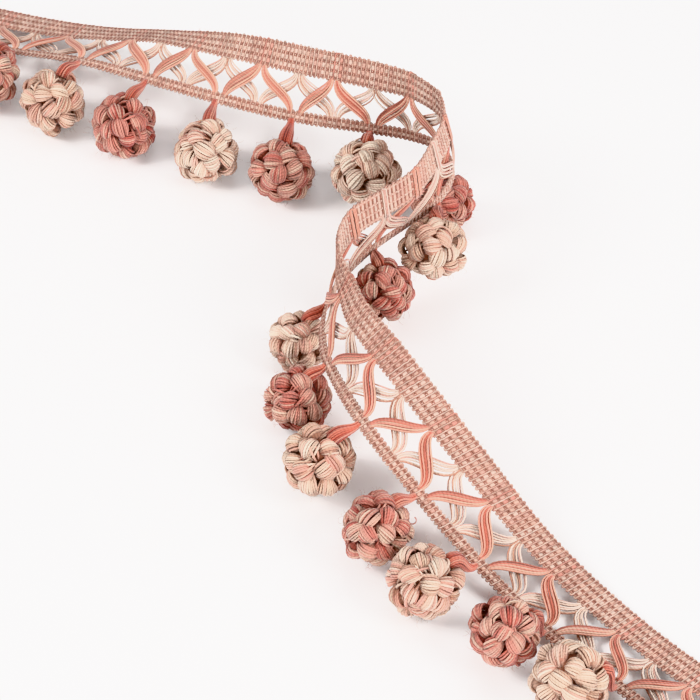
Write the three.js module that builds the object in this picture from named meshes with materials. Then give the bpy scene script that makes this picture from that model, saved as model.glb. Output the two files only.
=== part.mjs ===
// A cut length of pompon fringe, lying in an S on a flat surface.
// A woven heading and a narrow foot band are joined by two zigzag bundles of yarn, coral in front
// of cream, and a looped yarn pompon hangs on a short stem under each point of the coral zigzag.
// Millimetres, +Z up. The origin is under the middle of the whole length, on the surface.
import * as THREE from 'three';
import { mergeVertices } from 'three/addons/utils/BufferGeometryUtils.js';

// Sizes of the trim.
const pomponCount = 18;
const headingWidth = 10;
const headingThick = 1.8;
const footWidth = 3.6;
const footThick = 2.2;
const openWorkWidth = 14.2;
const bundleWide = 3.6;
const bundleNarrow = 1.3;
const bundleThick = 1.4;
const bundleProud = 1.2;
const stemThin = 1;
const stemThick = 2.5;
const gap = 0.35;
const stemGap = 1;
const stemStraight = 0.45;
const headingFrom = footWidth / 2 + openWorkWidth;

// Faces of the solids.
const stepsPerRepeat = 8;
const stepsPerLeg = 4;
const stemSides = 6;
const stemSteps = 3;

// A pompon's form, as shares of its radius.
const tuftValley = 0.88;
const stemHollow = 0.84;
const restHeight = 0.94;
const tuftSpread = Math.cos(THREE.MathUtils.degToRad(20));
const flatSpread = Math.cos(THREE.MathUtils.degToRad(28));

// The lie: where the middle of the foot band runs. at counts the repeats along the trim, with a
// pompon at each whole number. lean is the tilt of the trim's width up from level, and rake is how
// far the width slants along the trim. fold is how far the heading leans back from the open work,
// along its inner edge. All three are in degrees.
const lie = [
  { at: 0.5, x: -148.5, y: 165, z: 5, lean: -4, rake: -2, fold: -8 },
  { at: 2, x: -107, y: 147, z: 11.5, lean: -10, rake: 0, fold: -9 },
  { at: 3, x: -80, y: 134, z: 17.5, lean: -4, rake: 0, fold: 5 },
  { at: 4, x: -53.5, y: 120, z: 20.5, lean: 22, rake: -4, fold: 30 },
  { at: 5, x: -26.5, y: 106.5, z: 22.5, lean: 36, rake: -3, fold: 12 },
  { at: 6, x: 2, y: 95.5, z: 23, lean: 53, rake: 1, fold: -1 },
  { at: 7, x: 31, y: 88, z: 23.5, lean: 73, rake: 2, fold: 4 },
  { at: 7.5, x: 45.5, y: 83.5, z: 24, lean: 81, rake: 1, fold: 1 },
  { at: 8, x: 57, y: 74, z: 26, lean: 94, rake: 0, fold: 5 },
  { at: 8.5, x: 60.5, y: 59.5, z: 27, lean: 96, rake: -1, fold: -9 },
  { at: 9, x: 54.5, y: 45.5, z: 26.5, lean: 92, rake: -5, fold: -15 },
  { at: 9.5, x: 43.5, y: 35, z: 25, lean: 78, rake: -11, fold: -28 },
  { at: 10, x: 32, y: 25, z: 23.5, lean: 79, rake: -13, fold: -28 },
  { at: 10.5, x: 22.5, y: 13.5, z: 22.5, lean: 85, rake: -12, fold: -22 },
  { at: 11, x: 16, y: 0, z: 22, lean: 80, rake: -9, fold: -13 },
  { at: 11.5, x: 14, y: -15, z: 22, lean: 67, rake: -4, fold: 2 },
  { at: 12, x: 16, y: -30, z: 23, lean: 58, rake: 3, fold: 8 },
  { at: 13, x: 27.5, y: -58, z: 24.5, lean: 33, rake: 6, fold: 7 },
  { at: 14, x: 45.5, y: -82, z: 16.5, lean: 21, rake: 9, fold: 9 },
  { at: 15, x: 64.5, y: -104, z: 8, lean: 6, rake: 8, fold: 6 },
  { at: 16, x: 85, y: -127, z: 3.5, lean: -1, rake: 6, fold: 0 },
  { at: 17, x: 105.5, y: -149, z: 5, lean: -8, rake: 2, fold: -4 },
  { at: 18.5, x: 136.5, y: -182.5, z: 7.5, lean: 0, rake: -2, fold: -3 },
];

// The pompons, from 1: where each one's middle is, how far across it is, and how far its
// underside is held off the surface.
const balls = [
  { x: -143.5, y: 142, across: 25, lift: 0.5 },
  { x: -116, y: 130, across: 26, lift: 1.5 },
  { x: -89.5, y: 116.5, across: 26, lift: 0 },
  { x: -62, y: 102.5, across: 25.5, lift: 0 },
  { x: -30, y: 88.5, across: 25.5, lift: 0 },
  { x: -1.5, y: 78, across: 25.5, lift: 0 },
  { x: 29, y: 72, across: 26, lift: 4.5 },
  { x: 57.5, y: 61.5, across: 24, lift: 0 },
  { x: 53, y: 26.5, across: 24, lift: 10 },
  { x: 35, y: 10.5, across: 23, lift: 5 },
  { x: 5.5, y: -8, across: 21.5, lift: 0 },
  { x: 6, y: -36, across: 23.5, lift: 0 },
  { x: 13.5, y: -64, across: 25.5, lift: 0 },
  { x: 32, y: -93, across: 24.5, lift: 0.5 },
  { x: 47, y: -114, across: 25, lift: 0 },
  { x: 71.5, y: -134, across: 23.5, lift: 1 },
  { x: 90, y: -152.5, across: 25, lift: 2 },
  { x: 109.5, y: -177, across: 24.5, lift: 0.5 },
];

const materials = {
  heading: new THREE.MeshStandardMaterial({ color: 0xc8967f, roughness: 0.9, metalness: 0 }),
  coral: new THREE.MeshStandardMaterial({ color: 0xdd7864, roughness: 0.85, metalness: 0 }),
  cream: new THREE.MeshStandardMaterial({ color: 0xead7bf, roughness: 0.85, metalness: 0 }),
  coralPompon: new THREE.MeshStandardMaterial({ color: 0xb96e5f, roughness: 0.9, metalness: 0 }),
  creamPompon: new THREE.MeshStandardMaterial({ color: 0xd7b9a0, roughness: 0.9, metalness: 0 }),
};

// The slope of one column of the lie at a row, from the rows on both sides of it.
function rowSlope(index, column) {
  const before = lie[Math.max(index - 1, 0)];
  const after = lie[Math.min(index + 1, lie.length - 1)];
  return (after[column] - before[column]) / (after.at - before.at);
}

// One column of the lie anywhere along the trim, on a smooth curve through the rows.
function lieValue(at, column) {
  let index = 0;
  while (index < lie.length - 2 && at >= lie[index + 1].at) index += 1;
  const start = lie[index];
  const end = lie[index + 1];
  const length = end.at - start.at;
  const u = (at - start.at) / length;
  const bend = u * u * (3 - 2 * u);
  const leaving = u * (1 - u) * (1 - u) * length * rowSlope(index, column);
  const arriving = u * u * (u - 1) * length * rowSlope(index + 1, column);
  return start[column] + (end[column] - start[column]) * bend + leaving + arriving;
}

function footMiddle(at) {
  return new THREE.Vector3(lieValue(at, 'x'), lieValue(at, 'y'), lieValue(at, 'z'));
}

// The trim's own directions at one place: along it, across it towards the heading, and out of
// its front face.
function directions(at) {
  const reach = 0.001;
  const along = footMiddle(at + reach).sub(footMiddle(at - reach)).normalize();
  const level = new THREE.Vector3(-along.y, along.x, 0).normalize();
  const up = new THREE.Vector3().crossVectors(along, level);
  const lean = THREE.MathUtils.degToRad(lieValue(at, 'lean'));
  const rake = THREE.MathUtils.degToRad(lieValue(at, 'rake'));
  const across = level.multiplyScalar(Math.cos(lean)).addScaledVector(up, Math.sin(lean));
  across.multiplyScalar(Math.cos(rake)).addScaledVector(along, Math.sin(rake));
  const front = new THREE.Vector3().crossVectors(along, across).normalize();
  return { along, across, front };
}

// A point of the trim: width is measured from the middle of the foot band towards the heading,
// and proud is measured out of the front face. Beyond its inner edge the heading is folded back.
function onTrim(at, width, proud) {
  const { across, front } = directions(at);
  const point = footMiddle(at).addScaledVector(across, Math.min(width, headingFrom));
  if (width <= headingFrom) return point.addScaledVector(front, proud);
  const fold = THREE.MathUtils.degToRad(lieValue(at, 'fold'));
  const back = across.clone().multiplyScalar(Math.cos(fold)).addScaledVector(front, -Math.sin(fold));
  const face = front.clone().multiplyScalar(Math.cos(fold)).addScaledVector(across, Math.sin(fold));
  return point.addScaledVector(back, width - headingFrom).addScaledVector(face, proud);
}

// A closed body through rings of points, with its two ends closed by fans.
function loft(rings) {
  const sides = rings[0].length;
  const points = rings.flat();
  const faces = [];
  for (let ring = 0; ring < rings.length - 1; ring += 1) {
    for (let side = 0; side < sides; side += 1) {
      const next = (side + 1) % sides;
      const a = ring * sides + side;
      const b = ring * sides + next;
      faces.push(a, b, b + sides);
      faces.push(a, b + sides, a + sides);
    }
  }
  const last = (rings.length - 1) * sides;
  for (let side = 1; side < sides - 1; side += 1) {
    faces.push(0, side + 1, side);
    faces.push(last, last + side, last + side + 1);
  }
  const geometry = new THREE.BufferGeometry().setFromPoints(points);
  geometry.setIndex(faces);
  return facingOut(geometry);
}

// Turns the faces round where they enclose the body from the wrong side.
function facingOut(geometry) {
  const position = geometry.getAttribute('position');
  const index = geometry.getIndex();
  const corners = [new THREE.Vector3(), new THREE.Vector3(), new THREE.Vector3()];
  let volume = 0;
  for (let face = 0; face < index.count; face += 3) {
    corners.forEach((corner, k) => corner.fromBufferAttribute(position, index.getX(face + k)));
    volume += corners[0].dot(corners[1].cross(corners[2])) / 6;
  }
  if (volume < 0) index.array.reverse();
  geometry.computeVertexNormals();
  return geometry;
}

// A flat woven band between two widths, with square edges.
function band(from, to, thick) {
  const steps = pomponCount * stepsPerRepeat;
  const rings = [];
  for (let step = 0; step <= steps; step += 1) {
    const at = 0.5 + step / stepsPerRepeat;
    rings.push([
      onTrim(at, from, -thick / 2),
      onTrim(at, to, -thick / 2),
      onTrim(at, to, thick / 2),
      onTrim(at, from, thick / 2),
    ]);
  }
  return loft(rings);
}

// A bundle of yarn that zigzags between the bands over the whole length. It is a leaf in each
// leg, narrow where it turns at a band and wide between, and side is 1 in front and -1 behind.
function zigzag(startsAtHeading, side) {
  const low = footWidth / 2 + gap + bundleNarrow / 2;
  const high = footWidth / 2 + openWorkWidth - gap - bundleNarrow / 2;
  const legs = 2 * pomponCount;
  const rings = [];
  for (let step = 0; step <= legs * stepsPerLeg; step += 1) {
    const leg = Math.floor(step / stepsPerLeg);
    const u = (step % stepsPerLeg) / stepsPerLeg;
    const goesDown = (leg % 2 === 0) === startsAtHeading;
    const share = goesDown ? 1 - u : u;
    const at = 0.5 + step / (2 * stepsPerLeg);
    const middle = Math.sin(Math.PI * u);
    const half = (bundleNarrow + (bundleWide - bundleNarrow) * middle) / 2;
    const proud = side * bundleProud * middle;
    rings.push(bundleRing(at, low + (high - low) * share, goesDown, u, half, proud));
  }
  return loft(rings);
}

// One flattened six-sided section of a bundle, square to the way that the bundle runs. Where it
// turns at a band it runs along the trim.
function bundleRing(at, width, goesDown, u, half, proud) {
  const { along, across, front } = directions(at);
  const centre = footMiddle(at).addScaledVector(across, width).addScaledVector(front, proud);
  const slant = u === 0 ? 0 : (goesDown ? 1 : -1);
  const wide = across.clone().addScaledVector(along, slant).normalize();
  const outline = [[-1, 0], [-0.6, -1], [0.6, -1], [1, 0], [0.6, 1], [-0.6, 1]];
  return outline.map(([w, t]) => centre.clone()
    .addScaledVector(wide, w * half)
    .addScaledVector(front, t * bundleThick / 2));
}

// The middle of a pompon, which stands on its flat underside.
function ballMiddle(ball) {
  return new THREE.Vector3(ball.x, ball.y, ball.lift + restHeight * ball.across / 2);
}

// Where a stem begins, under the foot band's edge, and the way it leaves the band there.
function stemStart(number) {
  const { along, front } = directions(number);
  const down = new THREE.Vector3().crossVectors(along, front);
  const start = footMiddle(number).addScaledVector(down, footWidth / 2 + stemGap);
  return { start, down, along };
}

// The way from a pompon's middle to the place where its stem begins.
function stemWay(number) {
  return stemStart(number).start.sub(ballMiddle(balls[number - 1])).normalize();
}

// The directions of a pompon's 32 tufts: the corners and the face middles of an icosahedron.
function tuftDirections() {
  const position = new THREE.IcosahedronGeometry(1, 0).getAttribute('position');
  const found = [];
  const keep = (way) => {
    if (!found.some((other) => other.dot(way) > 0.99)) found.push(way);
  };
  for (let face = 0; face < position.count; face += 3) {
    const corners = [0, 1, 2].map((k) => new THREE.Vector3().fromBufferAttribute(position, face + k));
    const middle = corners[0].clone().add(corners[1]).add(corners[2]).normalize();
    corners.forEach((corner) => keep(corner.normalize()));
    keep(middle);
  }
  return found;
}

// A pompon: a ball with a low crown for each tuft, a shallow hollow where the stem goes in, and
// a flat underside. It is turned so that one tuft's place points to the stem.
function pompon(number) {
  const ball = balls[number - 1];
  const radius = ball.across / 2;
  const tufts = tuftDirections();
  const way = stemWay(number);
  const turn = new THREE.Quaternion().setFromUnitVectors(tufts[0], way);
  const geometry = new THREE.IcosahedronGeometry(1, 2);
  geometry.deleteAttribute('normal');
  geometry.deleteAttribute('uv');
  const merged = mergeVertices(geometry);
  const position = merged.getAttribute('position');
  const point = new THREE.Vector3();
  const middle = ballMiddle(ball);
  for (let index = 0; index < position.count; index += 1) {
    point.fromBufferAttribute(position, index).normalize();
    const nearest = Math.max(...tufts.map((tuft) => tuft.dot(point)));
    const crown = Math.max(0, (nearest - tuftSpread) / (1 - tuftSpread));
    const atStem = tufts[0].dot(point) > 0.99;
    const share = atStem ? stemHollow : tuftValley + (1 - tuftValley) * crown;
    point.applyQuaternion(turn);
    const underneath = -point.z > flatSpread;
    point.multiplyScalar(radius * share);
    point.z = underneath ? -restHeight * radius : Math.max(point.z, -restHeight * radius);
    point.add(middle);
    position.setXYZ(index, point.x, point.y, point.z);
  }
  return facingOut(merged);
}

// A stem: a teardrop of yarn that leaves the foot band's edge straight and goes into the hollow
// of its pompon straight.
function stem(number) {
  const ball = balls[number - 1];
  const way = stemWay(number);
  const { start, down, along } = stemStart(number);
  const end = ballMiddle(ball).addScaledVector(way, stemHollow * ball.across / 2 + gap);
  const reach = start.distanceTo(end) * stemStraight;
  const path = new THREE.CubicBezierCurve3(
    start,
    start.clone().addScaledVector(down, reach),
    end.clone().addScaledVector(way, reach),
    end,
  );
  const rings = [];
  for (let step = 0; step <= stemSteps; step += 1) {
    const share = step / stemSteps;
    const radius = stemThin + (stemThick - stemThin) * share * share * (3 - 2 * share);
    const centre = path.getPoint(share);
    const ahead = path.getTangent(share);
    const deep = new THREE.Vector3().crossVectors(ahead, along).normalize();
    const wide = new THREE.Vector3().crossVectors(deep, ahead);
    const ring = [];
    for (let side = 0; side < stemSides; side += 1) {
      const angle = (side / stemSides) * 2 * Math.PI;
      ring.push(centre.clone()
        .addScaledVector(wide, radius * Math.cos(angle))
        .addScaledVector(deep, radius * Math.sin(angle)));
    }
    rings.push(ring);
  }
  return loft(rings);
}

function piece(name, geometry, material) {
  const mesh = new THREE.Mesh(geometry, material);
  mesh.name = name;
  return mesh;
}

const headingTo = headingFrom + headingWidth;
const trim = new THREE.Group();
trim.add(piece('heading_band', band(headingFrom, headingTo, headingThick), materials.heading));
trim.add(piece('foot_band', band(-footWidth / 2, footWidth / 2, footThick), materials.heading));
trim.add(piece('coral_lattice', zigzag(true, 1), materials.coral));
trim.add(piece('cream_lattice', zigzag(false, -1), materials.cream));
for (let number = 1; number <= pomponCount; number += 1) {
  const label = String(number).padStart(2, '0');
  const yarn = number % 2 === 0 ? materials.coralPompon : materials.creamPompon;
  trim.add(piece(`stem_${label}`, stem(number), materials.coral));
  trim.add(piece(`pompon_${label}`, pompon(number), yarn));
}

export default trim;
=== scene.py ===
"""A cut length of pompon fringe, lying in an S on a white table.

Metres, +Z up, in the same frame as the solids. Two woven bands are joined by two zigzag bundles of
yarn, and a looped yarn pompon hangs on a short stem under each point of the coral zigzag.
"""

import collections
import math

import bpy
import numpy as np
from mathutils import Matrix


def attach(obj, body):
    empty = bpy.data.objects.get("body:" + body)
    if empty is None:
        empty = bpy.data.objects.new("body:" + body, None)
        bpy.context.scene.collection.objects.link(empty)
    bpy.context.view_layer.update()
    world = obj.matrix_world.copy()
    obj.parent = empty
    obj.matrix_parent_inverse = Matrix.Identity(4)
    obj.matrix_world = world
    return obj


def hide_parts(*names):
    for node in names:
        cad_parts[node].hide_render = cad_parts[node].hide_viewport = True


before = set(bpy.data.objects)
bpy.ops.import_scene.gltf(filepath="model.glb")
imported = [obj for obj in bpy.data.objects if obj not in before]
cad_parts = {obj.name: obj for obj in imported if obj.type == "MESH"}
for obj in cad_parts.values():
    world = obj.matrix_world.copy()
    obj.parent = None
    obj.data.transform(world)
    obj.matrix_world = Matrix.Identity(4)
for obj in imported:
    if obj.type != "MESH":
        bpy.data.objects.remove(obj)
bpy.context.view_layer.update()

MM = 0.001

# ---------------------------------------------------------------- sizes of the trim, as in its solids
POMPONS = 18
REPEAT = 30.45 * MM
HEADING_WIDTH = 10 * MM
FOOT_WIDTH = 3.6 * MM
OPEN_WIDTH = 14.2 * MM
HEADING_FROM = FOOT_WIDTH / 2 + OPEN_WIDTH
FIRST, LAST = 0.5, POMPONS + 0.5

# The lie: at counts the repeats along the trim, with a pompon at each whole number. x, y and z are
# where the middle of the foot band runs, in metres. The rest is in degrees: how far the width leans
# up from level, how far it slants along the trim, and how far the heading is folded back.
LIE_COLUMNS = ("at", "x", "y", "z", "lean", "rake", "fold")
LIE = np.array([
    (0.5, -0.1485, 0.165, 0.005, -4, -2, -8),
    (2, -0.107, 0.147, 0.0115, -10, 0, -9),
    (3, -0.080, 0.134, 0.0175, -4, 0, 5),
    (4, -0.0535, 0.120, 0.0205, 22, -4, 30),
    (5, -0.0265, 0.1065, 0.0225, 36, -3, 12),
    (6, 0.002, 0.0955, 0.023, 53, 1, -1),
    (7, 0.031, 0.088, 0.0235, 73, 2, 4),
    (7.5, 0.0455, 0.0835, 0.024, 81, 1, 1),
    (8, 0.057, 0.074, 0.026, 94, 0, 5),
    (8.5, 0.0605, 0.0595, 0.027, 96, -1, -9),
    (9, 0.0545, 0.0455, 0.0265, 92, -5, -15),
    (9.5, 0.0435, 0.035, 0.025, 78, -11, -28),
    (10, 0.032, 0.025, 0.0235, 79, -13, -28),
    (10.5, 0.0225, 0.0135, 0.0225, 85, -12, -22),
    (11, 0.016, 0, 0.022, 80, -9, -13),
    (11.5, 0.014, -0.015, 0.022, 67, -4, 2),
    (12, 0.016, -0.03, 0.023, 58, 3, 8),
    (13, 0.0275, -0.058, 0.0245, 33, 6, 7),
    (14, 0.0455, -0.082, 0.0165, 21, 9, 9),
    (15, 0.0645, -0.104, 0.008, 6, 8, 6),
    (16, 0.085, -0.127, 0.0035, -1, 6, 0),
    (17, 0.1055, -0.149, 0.005, -8, 2, -4),
    (18.5, 0.1365, -0.1825, 0.0075, 0, -2, -3),
])

# ---------------------------------------------------------------- the trim's own surface


def lie_value(at, column):
    """One column of the lie anywhere along the trim, on a smooth curve through the rows."""
    places = LIE[:, 0]
    values = LIE[:, LIE_COLUMNS.index(column)]
    slopes = np.empty_like(values)
    slopes[1:-1] = (values[2:] - values[:-2]) / (places[2:] - places[:-2])
    slopes[0] = (values[1] - values[0]) / (places[1] - places[0])
    slopes[-1] = (values[-1] - values[-2]) / (places[-1] - places[-2])
    row = np.clip(np.searchsorted(places, at, side="right") - 1, 0, len(places) - 2)
    length = places[row + 1] - places[row]
    u = (at - places[row]) / length
    bend = u * u * (3 - 2 * u)
    leaving = u * (1 - u) ** 2 * length * slopes[row]
    arriving = u * u * (u - 1) * length * slopes[row + 1]
    return values[row] + (values[row + 1] - values[row]) * bend + leaving + arriving


def unit(vectors):
    return vectors / np.linalg.norm(vectors, axis=-1, keepdims=True)


def foot_middle(at):
    return np.stack([lie_value(at, column) for column in "xyz"], axis=-1)


def directions(at):
    """Along the trim, across it towards the heading, and out of its front face."""
    reach = 0.001
    along = unit(foot_middle(at + reach) - foot_middle(at - reach))
    level = unit(np.stack([-along[..., 1], along[..., 0], 0 * along[..., 0]], axis=-1))
    up = np.cross(along, level)
    lean = np.radians(lie_value(at, "lean"))[..., None]
    rake = np.radians(lie_value(at, "rake"))[..., None]
    across = level * np.cos(lean) + up * np.sin(lean)
    across = across * np.cos(rake) + along * np.sin(rake)
    return along, across, unit(np.cross(along, across))


def surface(at, width):
    """A place on the trim's middle surface, and the front direction there."""
    at, width = np.broadcast_arrays(np.asarray(at, float), np.asarray(width, float))
    _, across, front = directions(at)
    fold = np.radians(lie_value(at, "fold"))[..., None]
    beyond = np.maximum(width - HEADING_FROM, 0)[..., None]
    place = foot_middle(at) + across * np.minimum(width, HEADING_FROM)[..., None]
    back = across * np.cos(fold) - front * np.sin(fold)
    face = np.where(beyond > 0, front * np.cos(fold) + across * np.sin(fold), front)
    return place + back * beyond, face


def on_trim(at, width, proud):
    """A place that stands proud of the trim's middle surface."""
    place, face = surface(at, width)
    return place + face * np.broadcast_to(proud, place.shape[:-1])[..., None]


# ---------------------------------------------------------------- yarn


def tone(red, green, blue):
    """A linear colour from the everyday 0 to 255 one."""
    share = np.array([red, green, blue]) / 255
    return np.where(share <= 0.04045, share / 12.92, ((share + 0.055) / 1.055) ** 2.4)


TABLE_CLEAR = 0.02 * MM
YARN_CLEAR = 0.05 * MM
HAIR_CLEAR = 0.1 * MM
MAP_LENGTH = 4 * MM


class Yarn:
    """Gathers lengths of yarn as closed tubes, then makes them one mesh with their tones, and with
    a map that runs along each yarn in u and round it in v."""

    def __init__(self):
        self.points, self.tones, self.corners, self.sizes, self.maps = [], [], [], [], []
        self.count = 0

    def lay(self, paths, lift, radius, tones, sides=5, flat=1.0):
        """paths is lengths by rings by 3. lift points out of the cloth at each ring, and flat is
        how thick the yarn is that way, as a share of its width. None of it goes into the table."""
        lengths, rings = paths.shape[:2]
        radius = np.broadcast_to(radius, (lengths, rings))
        tones = np.broadcast_to(tones, (lengths, rings, 3))
        along = unit(np.gradient(paths, axis=1))
        side = unit(np.cross(along, lift))
        out = np.cross(side, along)
        turn = np.pi / 2 + 2 * np.pi * (np.arange(sides) - 0.5) / sides
        round_it = (np.cos(turn)[:, None] * side[:, :, None]
                    + flat * np.sin(turn)[:, None] * out[:, :, None])
        points = paths[:, :, None] + radius[..., None, None] * round_it
        points[..., 2] = np.maximum(points[..., 2], TABLE_CLEAR)
        self.points.append(points.reshape(-1, 3))
        self.tones.append(np.repeat(tones, sides, axis=1).reshape(-1, 3))

        first = self.count + np.arange(lengths)[:, None, None] * rings * sides
        ring = np.arange(rings - 1)[None, :, None] * sides
        here = np.arange(sides)[None, None, :]
        beside = (here + 1) % sides
        a = first + ring + here
        b = first + ring + beside
        quads = np.stack([a, a + sides, b + sides, b], axis=-1).reshape(-1, 4)
        step = np.linalg.norm(np.diff(paths, axis=1), axis=-1)
        run = np.concatenate([np.zeros((lengths, 1)), np.cumsum(step, axis=1)], axis=1) / MAP_LENGTH
        u0 = np.broadcast_to(run[:, :-1, None], (lengths, rings - 1, sides))
        u1 = np.broadcast_to(run[:, 1:, None], (lengths, rings - 1, sides))
        v0 = np.broadcast_to((here - 0.5) / sides, (lengths, rings - 1, sides))
        v1 = v0 + 1 / sides
        maps = np.stack([np.stack([u0, v0], -1), np.stack([u1, v0], -1),
                         np.stack([u1, v1], -1), np.stack([u0, v1], -1)], axis=3)
        self.corners.append(quads.ravel())
        self.sizes.append(np.full(len(quads), 4))
        self.maps.append(maps.reshape(-1, 2))

        start = first[:, 0] + np.arange(sides)[None, :]
        end = first[:, 0] + (rings - 1) * sides + np.arange(sides)[::-1][None, :]
        caps = np.concatenate([start, end])
        self.corners.append(caps.ravel())
        self.sizes.append(np.full(len(caps), sides))
        self.maps.append(np.zeros((caps.size, 2)))
        self.count += lengths * rings * sides

    def make(self, name, material):
        mesh = bpy.data.meshes.new(name)
        points = np.concatenate(self.points)
        corners = np.concatenate(self.corners).astype(np.int32)
        sizes = np.concatenate(self.sizes)
        starts = np.concatenate([[0], np.cumsum(sizes)[:-1]]).astype(np.int32)
        mesh.vertices.add(len(points))
        mesh.vertices.foreach_set("co", points.ravel())
        mesh.loops.add(len(corners))
        mesh.polygons.add(len(sizes))
        mesh.polygons.foreach_set("loop_start", starts)
        mesh.polygons.foreach_set("vertices", corners)
        mesh.polygons.foreach_set("use_smooth", np.ones(len(sizes), dtype=bool))
        mesh.update(calc_edges=True)
        yarn_map = mesh.uv_layers.new(name="YarnMap")
        yarn_map.data.foreach_set("uv", np.concatenate(self.maps).ravel())
        colours = mesh.color_attributes.new(name="Tone", type="FLOAT_COLOR", domain="POINT")
        tones = np.concatenate(self.tones)
        colours.data.foreach_set("color", np.column_stack([tones, np.ones(len(tones))]).ravel())
        mesh.materials.append(material)
        piece = bpy.data.objects.new(name, mesh)
        bpy.context.scene.collection.objects.link(piece)
        return piece


# ---------------------------------------------------------------- finishes

# Shadow between yarns is warm: red fades less than green and blue, by these powers.
DEPTH_TINT = np.array([0.75, 1.15, 1.25])
FIBRE_SCALE = 1400
DYE_SCALE = 240
# Painted shade on the sides of each yarn: a yarn has its full tone where it faces out by more than
# the second bound below, and its painted side shade where it faces out by less than the first.
SIDE_SHADE_FROM, SIDE_SHADE_TO = 0.68, 0.97


def add_node(tree, kind, inputs):
    """One node of a finish. Each input is a plain value or the output of another node."""
    node = tree.nodes.new(kind)
    for socket, value in inputs.items():
        if isinstance(value, bpy.types.NodeSocket):
            tree.links.new(value, node.inputs[socket])
        else:
            node.inputs[socket].default_value = value
    return node


def calculate(tree, operation, *values):
    node = add_node(tree, "ShaderNodeMath", dict(enumerate(values)))
    node.operation = operation
    return node.outputs[0]


def map_range(tree, value, start, end, low, high):
    node = add_node(tree, "ShaderNodeMapRange", {"Value": value, "From Min": start, "From Max": end,
                                                 "To Min": low, "To Max": high})
    return node.outputs[0]


def yarn_finish(name, twist, depth, rough, sheen, flank_shade, ply_shade=0.82, mottled=(0.88, 1.1)):
    """Spun yarn: its own tone, mottled along the fibres, with the twist of its plies in relief, and
    painted shade at its sides and between its plies. The flank shade argument is how much of the tone
    is left at the sides of a yarn, where it meets its neighbours, and the ply shade argument is how
    much is left between its plies."""
    material = bpy.data.materials.new(name)
    material.use_nodes = True
    tree = material.node_tree
    shader = tree.nodes["Principled BSDF"]
    shader.inputs["Roughness"].default_value = rough
    shader.inputs["Sheen Weight"].default_value = sheen
    shader.inputs["Sheen Roughness"].default_value = 0.6
    shader.inputs["Specular IOR Level"].default_value = 0.25

    own = tree.nodes.new("ShaderNodeAttribute")
    own.attribute_name = "Tone"
    place = tree.nodes.new("ShaderNodeTexCoord").outputs["Object"]
    fibres = add_node(tree, "ShaderNodeTexNoise", {"Vector": place, "Scale": FIBRE_SCALE, "Detail": 3})
    dye = add_node(tree, "ShaderNodeTexNoise", {"Vector": place, "Scale": DYE_SCALE, "Detail": 2})

    run = tree.nodes.new("ShaderNodeUVMap")
    run.uv_map = "YarnMap"
    parts = add_node(tree, "ShaderNodeSeparateXYZ", {"Vector": run.outputs["UV"]})
    turns = calculate(tree, "MULTIPLY_ADD", parts.outputs["X"], twist, parts.outputs["Y"])
    plies = calculate(tree, "SINE", calculate(tree, "MULTIPLY", turns, 4 * math.pi))
    # Painted shade in the grooves between the plies, times the dye's own mottle.
    painted_ply_shade = map_range(tree, plies, -1, 0.2, ply_shade, 1)
    mottle = map_range(tree, dye.outputs["Fac"], 0.3, 0.7, *mottled)
    both = calculate(tree, "MULTIPLY", painted_ply_shade, mottle)

    # Painted shade: each yarn's tone darkens warmly towards its sides, by how far round the yarn the
    # map is.
    level = calculate(tree, "COSINE", calculate(tree, "MULTIPLY", parts.outputs["Y"], 2 * math.pi))
    outward = calculate(tree, "ABSOLUTE", level)
    side = tree.nodes.new("ShaderNodeMapRange")
    side.data_type = "FLOAT_VECTOR"
    tree.links.new(outward, side.inputs[6])
    side.inputs[7].default_value = [SIDE_SHADE_FROM] * 3
    side.inputs[8].default_value = [SIDE_SHADE_TO] * 3
    side.inputs[9].default_value = flank_shade ** DEPTH_TINT
    side.inputs[10].default_value = [1] * 3
    shaded = add_node(tree, "ShaderNodeVectorMath", {0: own.outputs["Color"], 1: side.outputs[1]})
    shaded.operation = "MULTIPLY"
    colour = tree.nodes.new("ShaderNodeVectorMath")
    colour.operation = "SCALE"
    tree.links.new(shaded.outputs[0], colour.inputs[0])
    tree.links.new(both, colour.inputs["Scale"])
    tree.links.new(colour.outputs[0], shader.inputs["Base Color"])

    relief = calculate(tree, "MULTIPLY_ADD", fibres.outputs["Fac"], 0.5, plies)
    bump = add_node(tree, "ShaderNodeBump", {"Strength": 0.5, "Distance": depth, "Height": relief})
    tree.links.new(bump.outputs[0], shader.inputs["Normal"])
    return material


weave_yarn = yarn_finish("woven_yarn", twist=2.2, depth=0.05 * MM, rough=0.85, sheen=0.15, flank_shade=0.62)
lattice_yarn = yarn_finish("open_work_yarn", twist=1.6, depth=0.06 * MM, rough=0.75, sheen=0.25,
                           flank_shade=0.55, ply_shade=0.75)
pompon_yarn = yarn_finish("pompon_yarn", twist=1.8, depth=0.05 * MM, rough=0.85, sheen=0.2, flank_shade=0.6,
                          ply_shade=0.7, mottled=(0.76, 1.1))

# ---------------------------------------------------------------- yarn colours

WEFT = [tone(201, 171, 156), tone(196, 160, 144), tone(207, 180, 166), tone(192, 153, 139)]
CROSSING_WEFT = [tone(202, 148, 133), tone(196, 138, 124)]
WARP = [tone(158, 113, 98), tone(168, 124, 108), tone(147, 103, 90)]
GROUND = tone(157, 111, 97)
CORAL_DEEP = [tone(210, 137, 116), tone(186, 102, 84), tone(221, 163, 143)]
CORAL_EDGE = [tone(217, 177, 154), tone(212, 158, 137)]
CORAL_STRIPES = [tone(190, 114, 97), tone(212, 174, 152), tone(160, 94, 79), tone(201, 136, 118)]
CREAM = [tone(226, 204, 187), tone(218, 174, 160), tone(178, 132, 112), tone(233, 216, 202)]
STEM = [tone(192, 100, 80), tone(210, 142, 122), tone(172, 81, 65), tone(201, 116, 96)]
CORAL_POMPON = [tone(181, 101, 88), tone(193, 131, 117), tone(214, 187, 167), tone(154, 67, 58)]
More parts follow.
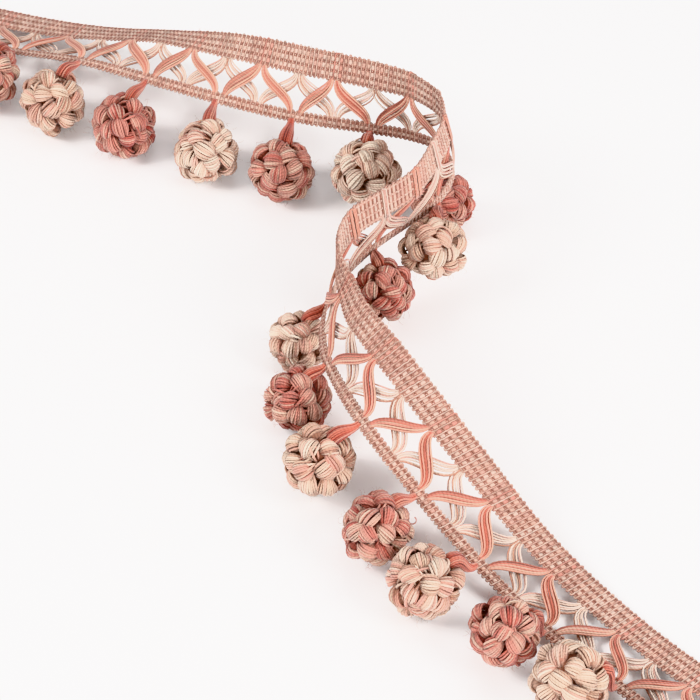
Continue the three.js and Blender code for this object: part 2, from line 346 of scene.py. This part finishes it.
CREAM_POMPON = [tone(240, 226, 208), tone(216, 190, 168), tone(208, 156, 140), tone(170, 127, 104)]
# Painted shade: each core stands for the yarn deep inside a ball, and is darker than any of its yarns.
CORAL_CORE_SHADE = tone(128, 62, 52)
CREAM_CORE_SHADE = tone(146, 100, 80)


def pick(random, palette, shape, weights=None):
    """Tones taken by chance from a palette, each a little lighter or darker than its own."""
    chosen = np.array(palette)[random.choice(len(palette), size=shape, p=weights)]
    return chosen * random.uniform(0.92, 1.08, size=(*chosen.shape[:-1], 1))


# ---------------------------------------------------------------- the two woven bands

PASSES_PER_REPEAT = 34
PASSES = POMPONS * PASSES_PER_REPEAT
PASS_PLACES = FIRST + (np.arange(PASSES) + 0.5) / PASSES_PER_REPEAT
CORAL_PASSES = (0.445, 0.535)
WARP_APART = 0.84 * MM
WARP_PROUD = 0.38 * MM
THIN = 0.3 * MM
PAD = 0.85 * MM
PAD_FROM, PAD_TO = 0.34, 0.66
HEADING_COLUMNS = [HEADING_FROM + width * MM for width in (0.75, 3.5, 6.4, 9.3)]
FOOT_COLUMNS = [-1.15 * MM, 1.15 * MM]
GROUND_INSET = 0.5 * MM
HEADING_HAIRS = 520
FOOT_HAIRS = 260
HAIR_RADIUS = 0.035 * MM


def weft(random, low, high, columns, turn_out, coral_passes=()):
    """One weft yarn that snakes to and fro between two widths. One pass goes thinly over the dark
    warps. The next lies under them and swells to a pad between the columns. The yarn turns in
    small loops outside the edges: turn_out says how far at the low edge, and by turns at the high
    one. The passes beside each coral point take its colour."""
    stops = []
    for column, following in zip(columns, [*columns[1:], None]):
        stops += [(column - WARP_APART / 2, 0), (column + WARP_APART / 2, 0)]
        if following is not None:
            gap = following - column
            stops += [(column + PAD_FROM * gap, 1), (column + PAD_TO * gap, 1)]
    widths, padded = np.array(stops).T
    rows = []
    half = 0.5 / PASSES_PER_REPEAT
    count = len(stops)
    for number, at in enumerate(PASS_PLACES):
        over = number % 2 == 0
        order = slice(None) if over else slice(None, None, -1)
        own = pick(random, WEFT, ())
        if min([abs(at % 1 - place) for place in coral_passes], default=1) < half:
            own = pick(random, CROSSING_WEFT, ())
        if over:
            radius, proud = THIN, WARP_PROUD * (1 - 0.45 * padded)
        else:
            radius, proud = PAD * (0.72 + 0.28 * padded), -0.3 * WARP_PROUD * (1 - padded)
        # Each stretch of weft differs a little in tone at random, and the thin passes are a touch
        # darker, as painted shade where they lie low between the pads.
        bright = random.uniform(0.8, 1.16, (count, 1)) * (0.95 if over else 0.98)
        rows.append((at + random.normal(0, 0.05 / PASSES_PER_REPEAT, count), widths[order],
                     (radius * random.uniform(0.9, 1.06, count))[order],
                     proud[order], own * bright))
        # The turns are darker than the rest of the yarn: painted shade where it rounds the edge.
        at_low, *at_high = turn_out
        beyond = at_high[number // 2 % len(at_high)] if over else -at_low
        bulge = np.array([0.5, 1, 0.5])
        rows.append((at + half * np.array([0.3, 1, 1.7]),
                     (high if over else low) + beyond * bulge * random.uniform(0.8, 1.2),
                     1.35 * THIN * random.uniform(0.9, 1.15, 3), np.zeros(3),
                     np.tile(own * random.uniform(0.68, 0.86), (3, 1))))
    at_all, width_all, radius_all, proud_all, tone_all = map(np.concatenate, zip(*rows))
    place, face = surface(np.clip(at_all, FIRST, LAST), width_all)
    path = place + face * proud_all[:, None]
    return path[None], face[None], radius_all[None], tone_all[None]


def lay_warps(threads, random, columns):
    """Two dark warps side by side in each column, over the thick passes and under the thin ones.
    On the back of the cloth the two look like one, and paler."""
    over = np.where(np.arange(PASSES) % 2 == 0, -0.15, 1.0) * WARP_PROUD
    for column in columns:
        for apart, front in ((-0.5, True), (0.5, True), (0, False)):
            place, face = surface(PASS_PLACES, np.full(PASSES, column + apart * WARP_APART))
            if front:
                path, radius, flat = place + face * over[:, None], 0.29 * MM, 1
                tones = pick(random, WARP, (PASSES,))
            else:
                path, radius, flat = place - face * 1.25 * over[:, None], 0.55 * MM, 0.5
                face, tones = -face, pick(random, [WEFT[3], WEFT[2]], (PASSES,))
            threads.lay(path[None], face[None], radius, tones, sides=4, flat=flat)


def lay_hairs(bundle, random, roots, out, longest, tones):
    """Loose fibres that stand off the yarn, hardly there one by one."""
    count = len(roots)
    drift = unit(out + 0.9 * random.normal(size=(count, 3)))
    length = longest * random.uniform(0.4, 1, (count, 1))
    curl = 0.18 * random.normal(size=(count, 3)) * length
    share = np.array([0, 0.35, 0.7, 1.0])[None, :, None]
    path = roots[:, None] + (drift * length)[:, None] * share + curl[:, None] * share * (1 - share) * 4
    path[..., 2] = np.maximum(path[..., 2], HAIR_CLEAR)
    radius = HAIR_RADIUS * np.array([1, 1, 0.8, 0.4])[None, :]
    lift = np.cross(path[:, 2] - path[:, 0], [0.31, 0.52, 0.8])[:, None] + 0 * path
    bundle.lay(path, lift, radius, tones, sides=3)


def lay_fuzz(bundle, random, count, low, high, tones):
    """Loose fibres along both edges of a band, more of them outside than in."""
    at = random.uniform(FIRST, LAST, count)
    outer = random.random(count) < 0.7
    across = directions(at)[1] * np.where(outer, high - low, low - high)[:, None]
    place, face = surface(at, np.where(outer, high, low))
    lay_hairs(bundle, random, place, unit(across) + 0.5 * face, 2 * MM, tones)


def ground(name, low, high, thick, material, steps=16):
    """The flat cloth that the band's yarns make together, inside their relief."""
    bpy.ops.object.select_all(action="DESELECT")
    bpy.ops.mesh.primitive_grid_add(x_subdivisions=POMPONS * steps, y_subdivisions=4, size=2)
    cloth = bpy.context.object
    cloth.name = name
    cloth.data.name = name
    mesh = cloth.data
    flat = np.empty(len(mesh.vertices) * 3)
    mesh.vertices.foreach_get("co", flat)
    flat = flat.reshape(-1, 3)
    at = FIRST + (flat[:, 0] + 1) / 2 * (LAST - FIRST)
    width = low + (flat[:, 1] + 1) / 2 * (high - low)
    mesh.vertices.foreach_set("co", on_trim(at, width, 0.0).ravel())
    mesh.update()
    wall = cloth.modifiers.new("wall", "SOLIDIFY")
    wall.thickness = thick
    wall.offset = 0
    bpy.ops.object.modifier_apply(modifier="wall")
    bpy.ops.object.shade_smooth()
    colours = cloth.data.color_attributes.new(name="Tone", type="FLOAT_COLOR", domain="POINT")
    count = len(cloth.data.vertices)
    colours.data.foreach_set("color", np.tile([*GROUND, 1.0], count))
    cloth.data.uv_layers[0].name = "YarnMap"
    cloth.data.materials.append(material)
    return cloth


def heading():
    """The heading's cloth, weft and warps."""
    random = np.random.default_rng(11)
    low, high = HEADING_FROM - 0.05 * MM, HEADING_FROM + HEADING_WIDTH
    cloth = ground("heading_ground", low + GROUND_INSET, high - GROUND_INSET, 0.4 * MM, weave_yarn)
    snake = Yarn()
    turn_out = (0.3 * MM, 0.4 * MM, 0.05 * MM)
    snake.lay(*weft(random, low, high, HEADING_COLUMNS, turn_out, CORAL_PASSES), sides=4, flat=0.72)
    threads = Yarn()
    lay_warps(threads, random, HEADING_COLUMNS)
    lay_fuzz(threads, random, HEADING_HAIRS, low, high, WEFT[2])
    return cloth, snake.make("heading_weft", weave_yarn), threads.make("heading_warps", weave_yarn)


def foot_band():
    """The foot band's cloth, weft and warps."""
    random = np.random.default_rng(12)
    low, high = -FOOT_WIDTH / 2 - 0.1 * MM, FOOT_WIDTH / 2 + 0.1 * MM
    cloth = ground("foot_ground", low + GROUND_INSET, high - GROUND_INSET, 0.5 * MM, weave_yarn)
    snake = Yarn()
    turn_out = (0.25 * MM, 0.25 * MM)
    snake.lay(*weft(random, low, high, FOOT_COLUMNS, turn_out), sides=4, flat=0.85)
    threads = Yarn()
    lay_warps(threads, random, FOOT_COLUMNS)
    lay_fuzz(threads, random, FOOT_HAIRS, low, high, WEFT[2])
    return cloth, snake.make("foot_weft", weave_yarn), threads.make("foot_warps", weave_yarn)


# ---------------------------------------------------------------- the open work

LEG_RINGS = 14
LEG_ROOT = 0.4 * MM
LEG_ARCH = 0.95 * MM
CREAM_STRAY, CORAL_STRAY = 0.07, 0.03
# The coral yarns of the first repeats are a little paler.
PALER_REPEATS = 7
CROSSING_RADIUS = 0.26 * MM

# One row for each way that a leg of yarn runs between the bands, counted from the coral point at
# the foot band: where it stands on the foot band and on the heading in repeats, how much it curls,
# half its width in the middle, the radius of its strands, its side of the cloth and its tones.
Leg = collections.namedtuple("Leg", "low high curl half_width radius side tones")
CORAL_LEGS = (
    Leg(0.095, 0.445, 0.2, 1.7 * MM, 0.38 * MM, 1,
        [CORAL_EDGE[1], CORAL_STRIPES[0], CORAL_STRIPES[1], CORAL_STRIPES[2], CORAL_STRIPES[3],
         CORAL_STRIPES[1], CORAL_STRIPES[0], CORAL_STRIPES[3], CORAL_STRIPES[2]]),
    Leg(-0.035, -0.485, 0.7, 1.6 * MM, 0.37 * MM, 1,
        [CORAL_EDGE[0], CORAL_DEEP[1], CORAL_DEEP[2], CORAL_DEEP[0], CORAL_DEEP[1], CORAL_DEEP[0],
         CORAL_DEEP[2], CORAL_DEEP[1], CORAL_EDGE[1]]),
)
CREAM_LEGS = (
    Leg(0.57, 0.965, 1.0, 2.1 * MM, 0.36 * MM, -1,
        [CREAM[2], CREAM[0], CREAM[3], CREAM[1], CREAM[3], CREAM[0], CREAM[3], CREAM[1]]),
    Leg(0.48, 0.02, 1.0, 2.1 * MM, 0.36 * MM, -1,
        [CREAM[3], CREAM[1], CREAM[0], CREAM[3], CREAM[2], CREAM[0], CREAM[3], CREAM[2]]),
)


def lay_leg(bundle, random, number, leg):
    """The strands of one leg, from the foot band up to the heading. They lie close together where
    the bands hold them and fan out between, and the whole leg sweeps over in an S."""
    count = len(leg.tones)
    x = np.linspace(0, 1, LEG_RINGS)
    width = FOOT_WIDTH / 2 - 0.9 * MM + x * (OPEN_WIDTH + 1.6 * MM)
    gentle = x * x * (3 - 2 * x)
    strong = gentle * gentle * (3 - 2 * gentle)
    sweep = gentle + (strong - gentle) * leg.curl * random.uniform(0.7, 1.1)
    at = number + leg.low + (leg.high - leg.low) * sweep
    step_along = np.gradient(at) * REPEAT
    step_across = np.gradient(width)
    length = np.hypot(step_along, step_across)
    belly = np.sin(np.pi * x)
    fan = LEG_ROOT + (leg.half_width * random.uniform(1.0, 1.25) - LEG_ROOT) * belly ** 0.85
    stray = CREAM_STRAY if leg.side < 0 else CORAL_STRAY
    row = np.linspace(-1, 1, count) + random.normal(0, stray, count)
    shift = row[:, None] * fan[None, :]
    shift = shift + random.normal(0, 1.8 * MM * stray, (count, 1)) * np.sin(2 * np.pi * x)[None, :]
    at_all = at[None, :] - shift * (step_across / length)[None, :] / REPEAT
    width_all = width[None, :] + shift * (step_along / length)[None, :]
    place, face = surface(at_all, width_all)
    over = np.where(np.arange(count) % 2 == 0, 0.16 * MM, -0.16 * MM)
    over = over + random.normal(0, 0.09 * MM, count)
    arch = (leg.side * LEG_ARCH * belly)[None, :] + over[:, None] * belly[None, :]
    tones = np.array(leg.tones)[:, None] * random.uniform(0.9, 1.08, (count, LEG_RINGS, 1))
    if number < PALER_REPEATS:
        tones = tones + 0.15 * (CORAL_EDGE[0] - tones)
    radius = leg.radius * random.uniform(0.85, 1.1, (count, 1))
    bundle.lay(place + face * arch[..., None], leg.side * face, radius, tones, sides=4)


def lay_crossing(bundle, random, middle, tones, proud, spread):
    """Where a bundle turns in the heading: its strands cross the whole width on one face, round
    the outer edge and come back beside themselves."""
    count = len(tones)
    out = np.linspace(0, 1, 8)
    turn = np.linspace(0, np.pi, 5)[1:-1]
    half = np.linspace(1.0, 0.35, count)[:, None] * spread
    edge = HEADING_FROM + HEADING_WIDTH - 0.3 * MM
    start = HEADING_FROM - 0.4 * MM
    across = np.concatenate([start + out * (edge - start), edge + 0.5 * MM * np.sin(turn),
                             edge - out * (edge - start)])
    along = np.concatenate([-np.ones(8), -np.cos(turn), np.ones(8)])
    wander = random.normal(0, 0.06 * MM, (count, len(across)))
    at = middle + (half * along[None, :] + wander) / REPEAT
    at = np.clip(at, FIRST, LAST)
    place, face = surface(at, np.broadcast_to(across, at.shape))
    height = np.where(np.abs(along) < 1, 0.3, 1.0)[None, :] * proud
    tones = np.array(tones)[:, None] * random.uniform(0.9, 1.08, (count, len(across), 1))
    bundle.lay(place + face * height[..., None], face, CROSSING_RADIUS, tones, sides=4)


CORAL_CROSSING = [CORAL_EDGE[1], CORAL_DEEP[1], CORAL_EDGE[0], CORAL_DEEP[0], CORAL_EDGE[1]]
CREAM_CROSSING = [CREAM[3], CREAM[1]]


def open_work():
    """Every leg that has its whole length on the trim, and the turns in the heading, which show on
    its back."""
    random = np.random.default_rng(21)
    coral, cream = Yarn(), Yarn()
    for number in range(POMPONS + 1):
        for bundle, legs in ((coral, CORAL_LEGS), (cream, CREAM_LEGS)):
            for leg in legs:
                start, end = sorted((number + leg.low, number + leg.high))
                if FIRST <= start and end <= LAST:
                    lay_leg(bundle, random, number, leg)
    for number in range(1, POMPONS + 1):
        lay_crossing(coral, random, number + 0.49, CORAL_CROSSING, -0.95 * MM, 1.6 * MM)
        lay_crossing(cream, random, number - 0.005, CREAM_CROSSING, -0.9 * MM, 0.9 * MM)
    return coral.make("coral_strands", lattice_yarn), cream.make("cream_strands", lattice_yarn)


# ---------------------------------------------------------------- pompons and their stems

# One row for each pompon: where its middle is, how far across it is and how far it is held off the
# table. It sinks a little where it rests, so its middle is lower than half its width.
REST_HEIGHT = 0.94
Ball = collections.namedtuple("Ball", "x y across lift")
BALLS = [Ball(*row) for row in (
    (-0.1435, 0.142, 0.025, 0.0005),
    (-0.116, 0.130, 0.026, 0.0015),
    (-0.0895, 0.1165, 0.026, 0),
    (-0.062, 0.1025, 0.0255, 0),
    (-0.030, 0.0885, 0.0255, 0),
    (-0.0015, 0.078, 0.0255, 0),
    (0.029, 0.072, 0.026, 0.0045),
    (0.0575, 0.0615, 0.024, 0),
    (0.053, 0.0265, 0.024, 0.010),
    (0.035, 0.0105, 0.023, 0.005),
    (0.0055, -0.008, 0.0215, 0),
    (0.006, -0.036, 0.0235, 0),
    (0.0135, -0.064, 0.0255, 0),
    (0.032, -0.093, 0.0245, 0.0005),
    (0.047, -0.114, 0.025, 0),
    (0.0715, -0.134, 0.0235, 0.001),
    (0.090, -0.1525, 0.025, 0.002),
    (0.1095, -0.177, 0.0245, 0.0005),
)]


def ball_middle(number):
    ball = BALLS[number - 1]
    return np.array([ball.x, ball.y, ball.lift + REST_HEIGHT * ball.across / 2])


def stem_start(number):
    """Where a stem leaves the foot band, the way it leaves and the way that the band runs there."""
    at = np.array(float(number))
    along, _, front = directions(at)
    down = np.cross(along, front)
    return foot_middle(at) + down * FOOT_WIDTH / 2, down, along


def stem_way(number):
    """The side of a pompon that its stem goes into: towards the foot band, but nearer the top."""
    start, _, _ = stem_start(number)
    way = unit(start - ball_middle(number))
    return unit(way + [0, 0, 0.8])


TUFTS = 32
LOOPS = 10
LOOP_RINGS = 9
STRAY_TUFTS = 16
STRAY_LOOPS = 3
FILLED_SHARE = 0.9
CORE = 0.7
POMPON_HAIRS = 100
CURLED_POMPON = 14

# A tuft on a pompon of the usual radius. A loop bends this far to each side of its top.
USUAL_RADIUS = 12.5 * MM
HALF_ROW_PER_LOOP = 0.19 * MM
HALF_LOOP = 3.5 * MM
LOOP_HEIGHT = 4 * MM
LOOP_BEND = 104
LOOP_TILT = 20


def tuft_ways():
    """The directions of a ball's tufts, on a spiral from round the stem to the far side."""
    place = (np.arange(TUFTS) + 0.5) / TUFTS
    height = 0.96 - 1.94 * place
    level = np.sqrt(1 - height ** 2)
    turn = np.arange(TUFTS) * math.pi * (3 - math.sqrt(5))
    return np.stack([level * np.cos(turn), level * np.sin(turn), height], axis=-1)


def turned_to(ways, way, random):
    """The tuft directions turned so that the spiral starts at way, with a random spin."""
    side = unit(np.cross(way, unit(random.normal(size=3))))
    return ways @ np.array([side, np.cross(way, side), way])


def lay_tuft(ball, random, middle, way, radius, palette, share, loops, proud, filled):
    """One tuft: loops side by side, each of which leaves the ball and goes back in, gathered at
    both ends. It stands on the ball towards way. A filled tuft has more yarn inside its loops."""
    size = radius / USUAL_RADIUS
    run = unit(np.cross(way, unit(random.normal(size=3))))
    side = np.cross(way, run)
    half_row = HALF_ROW_PER_LOOP * loops * size * random.uniform(0.85, 1.15)
    half_loop = HALF_LOOP * size * random.uniform(0.88, 1.12)
    height = LOOP_HEIGHT * size * random.uniform(0.92, 1.08)
    heart = radius * random.uniform(0.89, 1.04) + proud - height
    row = np.linspace(-1, 1, loops)[:, None] + random.normal(0, 0.04, (loops, 1))
    bend = np.radians(np.linspace(-LOOP_BEND, LOOP_BEND, LOOP_RINGS))[None, :]
    wide = half_loop * (1 - 0.14 * row ** 2) * random.normal(1, 0.05, (loops, 1))
    tall = height * (1 - 0.16 * row ** 2) * random.normal(1, 0.03, (loops, 1))
    tilt = np.radians(LOOP_TILT) * row
    slip = random.uniform(-0.7, 0.7) * MM * (row ** 2 - 0.33) + random.normal(0, 0.1 * MM, (loops, 1))
    skew = random.uniform(-0.3, 0.3) + random.normal(0, 0.05, (loops, 1))
    gather = 0.3 + 0.7 * np.cos(0.8 * bend)
    across = wide * np.sin(bend) + slip
    down_row = half_row * row * gather + skew * wide * np.sin(bend) + tall * np.cos(bend) * np.sin(tilt)
    out = heart - 0.5 * MM * row ** 2 + tall * np.cos(bend) * np.cos(tilt)
    offset = side * across[..., None] + run * down_row[..., None] + way * out[..., None]
    yarn_radius = (0.27 + 0.23 * np.cos(bend * 0.8)) * MM * random.uniform(0.85, 1.1, (loops, 1))
    path = middle + offset
    path[..., 2] = np.maximum(path[..., 2], yarn_radius + YARN_CLEAR)

    first, second = pick(random, palette, (2,), share)
    change = random.uniform(-0.9, 0.9)
    band = 1 / (1 + np.exp(-(row - change + random.normal(0, 0.3, (loops, 1))) * 6))
    loose = pick(random, palette, (loops,), share)[:, None] * random.uniform(0.72, 1.16, (loops, 1, 1))
    tones = (first + (second - first) * band[..., None]) * 0.35 + loose * 0.65
    other = 0.6 * second + 0.4 * pick(random, palette, (loops,), share)[:, None]
    mix = 0.25 + 0.25 * np.sin(bend * random.uniform(0.5, 1.2, (loops, 1)) + random.uniform(0, 6))
    tones = tones + (other - tones) * mix[..., None]
    # Painted shade: each loop darkens towards its ends, where it goes down into the ball, and the outer
    # loops of a tuft a little more; the tops are lightened a touch, as painted light.
    deep = ((1 - np.cos(bend)) / 1.24) ** 1.3 + 0 * row
    shade = (1.08 * (1 - 0.6 * deep) * (1 - 0.2 * row ** 2)) ** DEPTH_TINT[:, None, None]
    lift = offset - way * heart
    ball.lay(path, lift, yarn_radius, tones * np.moveaxis(shade, 0, -1), sides=4)
    # The yarn inside a filled tuft is in the mean tone of its loops, darkened as painted shade.
    if filled:
        bend = np.radians(np.linspace(-80, 80, 7))
        across = 0.94 * half_loop * np.sin(bend)[:, None]
        spine = middle + way * (heart + 0.3 * height) + (side + run * skew.mean()) * across
        full = (half_row + height * math.sin(tilt.max())) * 0.9 * np.cos(bend)
        ball.lay(spine[None], np.broadcast_to(way, (1, 7, 3)), full[None],
                 (first + second) / 2 * 0.72 ** DEPTH_TINT, sides=8, flat=0.66 * height / full.max())


def lay_curl(ball, middle, radius):
    """A loose end of yarn that curls out of the ball's right side."""
    turn = np.linspace(-3.1, 0.7, 10)[:, None]
    out = unit(np.array([0.95, 0.05, 0.3]))
    over = unit(np.array([-0.25, 0.5, 0.8]))
    curl = middle + out * 0.98 * radius + 1.3 * MM * (np.cos(turn) * out + np.sin(turn) * over)
    lift = np.cross(out, over) + 0 * curl[None]
    ball.lay(curl[None], lift, 0.24 * MM, CORAL_POMPON[1], sides=4)


def pompon(number, ways):
    """A core, darker than its yarns as painted shade for the deep inside of the ball, tufts all round
    it, a few small ones between them, and hairs.
    """
    random = np.random.default_rng(100 + number)
    palette, heart = ((CREAM_POMPON, CREAM_CORE_SHADE), (CORAL_POMPON, CORAL_CORE_SHADE))[number % 2 == 0]
    middle = ball_middle(number)
    radius = BALLS[number - 1].across / 2
    tufts = turned_to(ways, stem_way(number), random)
    tufts = unit(tufts + random.normal(0, 0.06, tufts.shape))
    ball = Yarn()
    core = CORE * radius
    turn = np.linspace(-0.98, 0.98, 12) * np.pi / 2
    axis = middle + np.sin(turn)[:, None] * core * np.array([0, 0, 1.0])
    ball.lay(axis[None], np.tile([1.0, 0, 0], (1, 12, 1)), core * np.cos(turn)[None], heart, sides=14)
    share = random.dirichlet([6, 6, 5, 3])
    for way in tufts:
        filled = random.random() < FILLED_SHARE
        lay_tuft(ball, random, middle, way, radius, palette, share, LOOPS, 0, filled)
    for way in unit(random.normal(size=(STRAY_TUFTS, 3))):
        lay_tuft(ball, random, middle, way, radius, palette, share, STRAY_LOOPS, -0.9 * MM, False)
    hairs = unit(random.normal(size=(POMPON_HAIRS, 3)))
    roots = middle + hairs * radius * random.uniform(0.9, 1.0, (POMPON_HAIRS, 1))
    lay_hairs(ball, random, roots, hairs, 2.8 * MM, np.array(palette[1]))
    if number == CURLED_POMPON:
        lay_curl(ball, middle, radius)
    return ball.make(f"pompon_{number:02d}_yarn", pompon_yarn)


def bezier(points, share):
    """Places along the curve that four points steer."""
    a, b, c, d = points
    t = share[:, None]
    return (1 - t) ** 3 * a + 3 * (1 - t) ** 2 * t * b + 3 * (1 - t) * t * t * c + t ** 3 * d


STEM_TOP = 0.85 * MM
STEM_SWELL = 1.45 * MM
STEM_YARN = 0.42 * MM
STEM_DEPTH = 0.74


def stem(bundle, number, random, strands=20, rings=9):
    """Coral yarns that leave the foot band close together and open into a bud over the pompon."""
    start, down, along = stem_start(number)
    middle = ball_middle(number)
    radius = BALLS[number - 1].across / 2
    way = stem_way(number)
    begin = start - down * 0.8 * MM
    end = middle + way * STEM_DEPTH * radius
    reach = np.linalg.norm(end - begin) * 0.4
    share = np.linspace(0, 1, rings)
    path = bezier((begin, begin + down * reach, end + way * reach, end), share)
    ahead = unit(np.gradient(path, axis=0))
    deep = unit(np.cross(ahead, along))
    wide = np.cross(deep, ahead)
    open_out = np.clip(share * 1.25, 0, 1)
    swell = STEM_TOP + STEM_SWELL * open_out * open_out * (3 - 2 * open_out)
    turn = 2 * np.pi * (np.arange(strands) + random.uniform(-0.25, 0.25, strands)) / strands
    turn = turn[:, None] + random.uniform(0.2, 0.6) * share[None, :]
    out = wide[None] * np.cos(turn)[..., None] + deep[None] * np.sin(turn)[..., None]
    paths = path[None] + out * (swell[None, :] * random.uniform(0.82, 1.06, (strands, 1)))[..., None]
    # Painted shade: each strand darkens towards the ball, and the tube that fills the strands is darker
    # still.
    tones = pick(random, STEM, (strands,))[:, None] * (1 - 0.3 * share[None, :, None] ** 2)
    bundle.lay(paths, out, STEM_YARN * random.uniform(0.85, 1.1, (strands, 1)), tones, sides=4)
    bundle.lay(path[None], deep[None], swell[None] - 0.05 * MM, STEM[2] * 0.6, sides=8)


def stems():
    """All the stems, as one piece."""
    random = np.random.default_rng(31)
    bundle = Yarn()
    for number in range(1, POMPONS + 1):
        stem(bundle, number, random)
    return bundle.make("stem_strands", lattice_yarn)


# ---------------------------------------------------------------- the object

heading_cloth, heading_weft, heading_warps = heading()
foot_cloth, foot_weft, foot_warps = foot_band()
coral_strands, cream_strands = open_work()
stem_strands = stems()
ways = tuft_ways()
pompons = [pompon(number, ways) for number in range(1, POMPONS + 1)]

for piece, slot in (
    (heading_cloth, "heading_weave"), (heading_weft, "heading_weave"), (heading_warps, "heading_weave"),
    (foot_cloth, "heading_weave"), (foot_weft, "heading_weave"), (foot_warps, "heading_weave"),
    (coral_strands, "coral_yarn"), (cream_strands, "cream_yarn"), (stem_strands, "coral_yarn"),
):
    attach(piece, "root")
for number, piece in enumerate(pompons, start=1):
    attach(piece, "root")
    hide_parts(f"pompon_{number:02d}")
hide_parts("heading_band")
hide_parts("foot_band")
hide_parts("coral_lattice")
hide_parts("cream_lattice")
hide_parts(*[f"stem_{number:02d}" for number in range(1, POMPONS + 1)])

# ---------------------------------------------------------------- table, light and camera


def table():
    """A white table top, large enough that no edge of it is near."""
    bpy.ops.object.select_all(action="DESELECT")
    bpy.ops.mesh.primitive_plane_add(size=6)
    top = bpy.context.object
    top.name = "table"
    material = bpy.data.materials.new("white_table")
    material.use_nodes = True
    shader = material.node_tree.nodes["Principled BSDF"]
    shader.inputs["Base Color"].default_value = (0.93, 0.925, 0.93, 1)
    shader.inputs["Roughness"].default_value = 0.6
    shader.inputs["Specular IOR Level"].default_value = 0.2
    top.data.materials.append(material)


def light(name, place, size, power, colour):
    """A round lamp that faces the origin."""
    data = bpy.data.lights.new(name, "AREA")
    data.shape = "DISK"
    data.size = size
    data.energy = power
    data.color = colour
    lamp = bpy.data.objects.new(name, data)
    bpy.context.scene.collection.objects.link(lamp)
    lamp.location = place
    x, y, z = place
    turn_up = math.atan2(math.hypot(x, y), z)
    turn_round = math.atan2(-y, -x) - math.pi / 2
    lamp.rotation_euler = (turn_up, 0, turn_round)


def studio():
    table()
    world = bpy.data.worlds.new("studio")
    world.use_nodes = True
    sky = world.node_tree.nodes["Background"]
    sky.inputs["Color"].default_value = (1, 0.995, 1, 1)
    sky.inputs["Strength"].default_value = 0.46
    scene = bpy.context.scene
    scene.world = world
    scene.view_settings.view_transform = "Khronos PBR Neutral"
    light("left_lamp", (-0.9, -0.1, 0.8), 0.6, 14, (1, 0.99, 0.98))
    light("right_lamp", (0.9, -0.45, 0.7), 0.6, 15.5, (1, 0.99, 0.98))
    light("top_lamp", (0, 0.3, 1.4), 1.0, 3, (1, 1, 1))
    light("front_lamp", (0.15, -1.1, 0.45), 0.8, 11, (1, 0.995, 0.99))


def camera():
    """A long lens that looks along +Y and down on the middle of the length."""
    elevation = math.radians(46.51)
    distance = 0.8465
    aim = np.array([0.0235, -0.0025, 0])
    data = bpy.data.cameras.new("camera")
    data.sensor_width = 36
    data.lens = 124.3
    data.clip_start = 0.05
    eye = bpy.data.objects.new("camera", data)
    bpy.context.scene.collection.objects.link(eye)
    eye.location = aim + distance * np.array([0, -math.cos(elevation), math.sin(elevation)])
    eye.rotation_euler = (math.pi / 2 - elevation, 0, 0)
    bpy.context.scene.camera = eye


studio()
camera()
